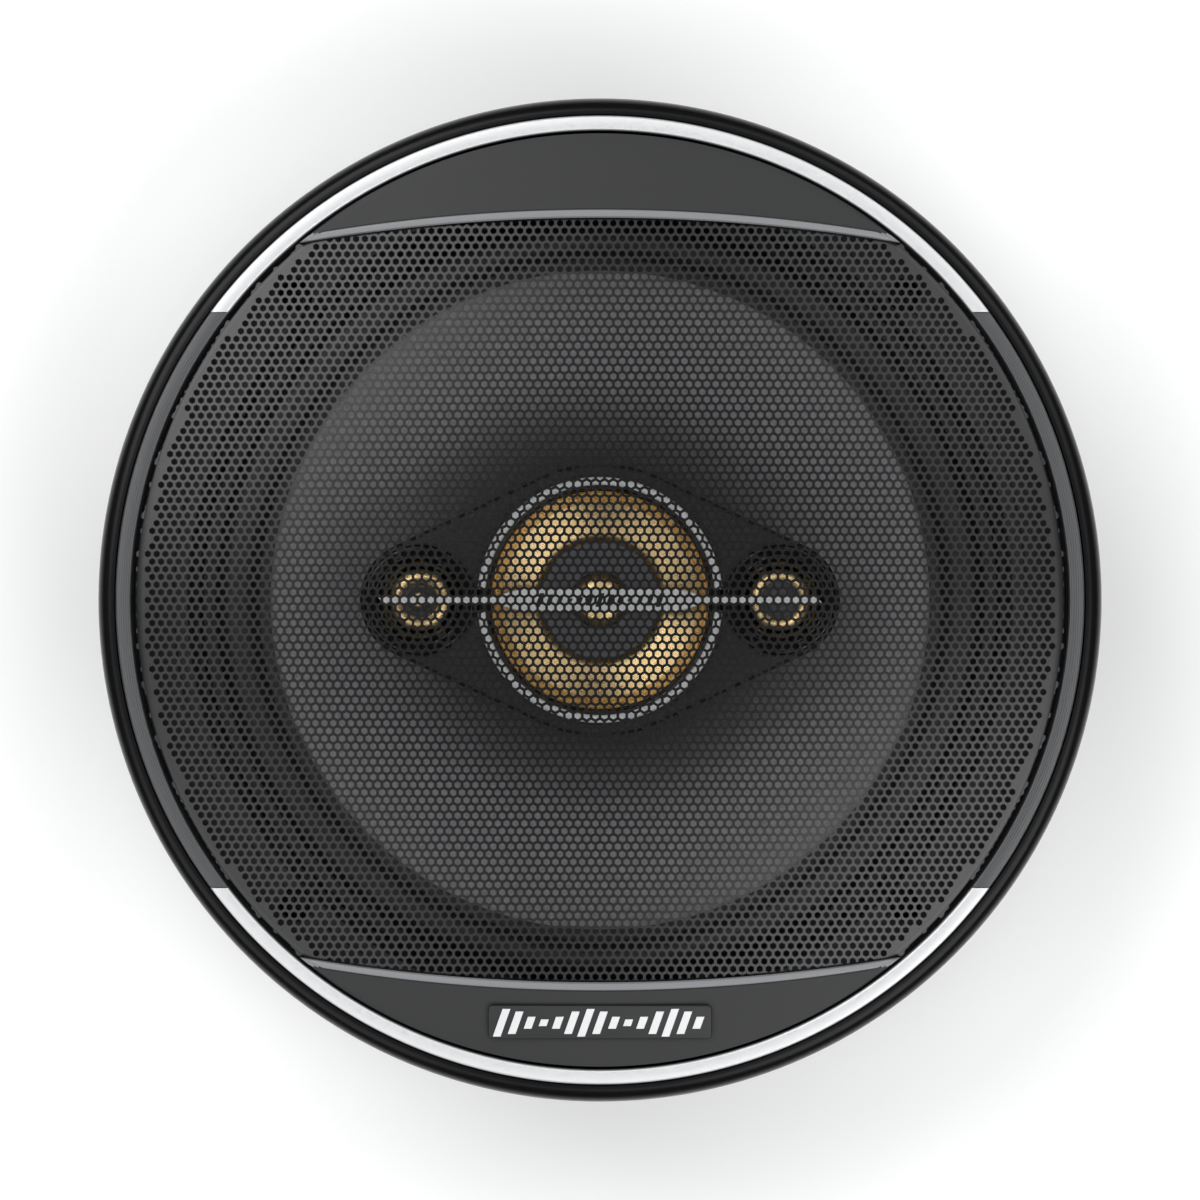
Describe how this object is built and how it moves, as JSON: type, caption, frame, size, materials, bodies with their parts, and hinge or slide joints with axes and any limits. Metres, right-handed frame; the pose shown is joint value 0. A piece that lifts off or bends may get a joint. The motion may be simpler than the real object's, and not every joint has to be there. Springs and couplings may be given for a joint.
{
  "type": "coaxial car speaker",
  "caption": "Round coaxial car speaker with a perforated steel grille over a paper cone, a central midrange and a pair of small horn tweeters on a bridge.",
  "frame": {"origin": "centre of the back plate's rear face", "axes": "+Z the way the sound goes, +X along the bridge to its right-hand tweeter, terminals at -Y"},
  "size_m": [0.176, 0.176, 0.0702],
  "materials": {
    "zinc_plated_steel": "zinc plated",
    "ferrite": "ground, unpainted",
    "black_coated_steel": "satin black coating",
    "black_rubber": "satin",
    "grey_cone": "satin moulded",
    "spider_cloth": "resin-stiffened cloth",
    "aluminium": "plain",
    "copper_wire": "copper wire",
    "grained_black_plastic": "grained",
    "gloss_black_plastic": "gloss",
    "dark_grey_plastic": "satin",
    "gold_film": "gold metallised film",
    "satin_silver": "satin silver plating on plastic",
    "tinned_brass": "tinned",
    "phenolic_board": "punched paper laminate",
    "capacitor_sleeve": "shrink sleeve",
    "black_perforated_steel": "semi-gloss black coating"
  },
  "bodies": {
    "basket": {"basket": "black_coated_steel", "yoke": "zinc_plated_steel", "magnet": "ferrite", "top_plate": "zinc_plated_steel", "spider": "spider_cloth", "surround": "black_rubber", "terminal_board": "phenolic_board", "positive_blade": "tinned_brass", "negative_blade": "tinned_brass", "positive_rivet": "tinned_brass", "negative_rivet": "tinned_brass", "board_rivet": "tinned_brass", "positive_tinsel_lead": "copper_wire", "negative_tinsel_lead": "copper_wire", "crossover_capacitor": "capacitor_sleeve", "bridge_lead": "grained_black_plastic", "bridge_post": "aluminium", "post_nut": "zinc_plated_steel", "bridge_body": "grained_black_plastic", "midrange_housing": "gloss_black_plastic", "midrange_yoke": "zinc_plated_steel", "midrange_magnet": "zinc_plated_steel", "midrange_pole_plate": "zinc_plated_steel", "midrange_plug": "dark_grey_plastic", "midrange_plug_insert": "gold_film", "silver_ring_upper": "satin_silver", "silver_ring_lower": "satin_silver", "name_bar": "satin_silver", "left_tweeter_cup": "gloss_black_plastic", "left_tweeter_magnet": "zinc_plated_steel", "left_tweeter_plug": "dark_grey_plastic", "right_tweeter_cup": "gloss_black_plastic", "right_tweeter_magnet": "zinc_plated_steel", "right_tweeter_plug": "dark_grey_plastic", "grille_base_ring": "dark_grey_plastic"},
    "cone": {"woofer_cone": "grey_cone", "voice_coil_former": "aluminium", "voice_coil_winding": "copper_wire", "dust_ring": "grey_cone"},
    "midrange_diaphragm": {"midrange_cone": "gold_film", "midrange_voice_coil": "copper_wire"},
    "left_tweeter": {"left_tweeter_diaphragm": "gold_film"},
    "right_tweeter": {"right_tweeter_diaphragm": "gold_film"},
    "grille": {"grille_outer_ring": "gloss_black_plastic", "grille_trim_frame": "dark_grey_plastic", "grille_mesh": "black_perforated_steel", "silver_arc_upper": "satin_silver", "silver_arc_lower": "satin_silver", "badge": "satin_silver"}
  },
  "joints": [
    {"name": "cone_travel", "type": "slide", "parent": "basket", "child": "cone", "axis": [0, 0, 1], "range_m": [-0.004, 0.004], "stiffness_N_per_m": 2000, "deforming": ["surround", "spider", "positive_tinsel_lead", "negative_tinsel_lead"]},
    {"name": "midrange_travel", "type": "slide", "parent": "basket", "child": "midrange_diaphragm", "axis": [0, 0, 1], "range_m": [-0.0005, 0.0005], "stiffness_N_per_m": 400},
    {"name": "left_tweeter_travel", "type": "slide", "parent": "basket", "child": "left_tweeter", "axis": [0, 0, 1], "range_m": [-0.00025, 0.00025], "stiffness_N_per_m": 100},
    {"name": "right_tweeter_travel", "type": "slide", "parent": "basket", "child": "right_tweeter", "axis": [0, 0, 1], "range_m": [-0.00025, 0.00025], "stiffness_N_per_m": 100},
    {"name": "grille_lift", "type": "slide", "parent": "basket", "child": "grille", "axis": [0, 0, 1], "range_m": [0, 0.05]}
  ]
}
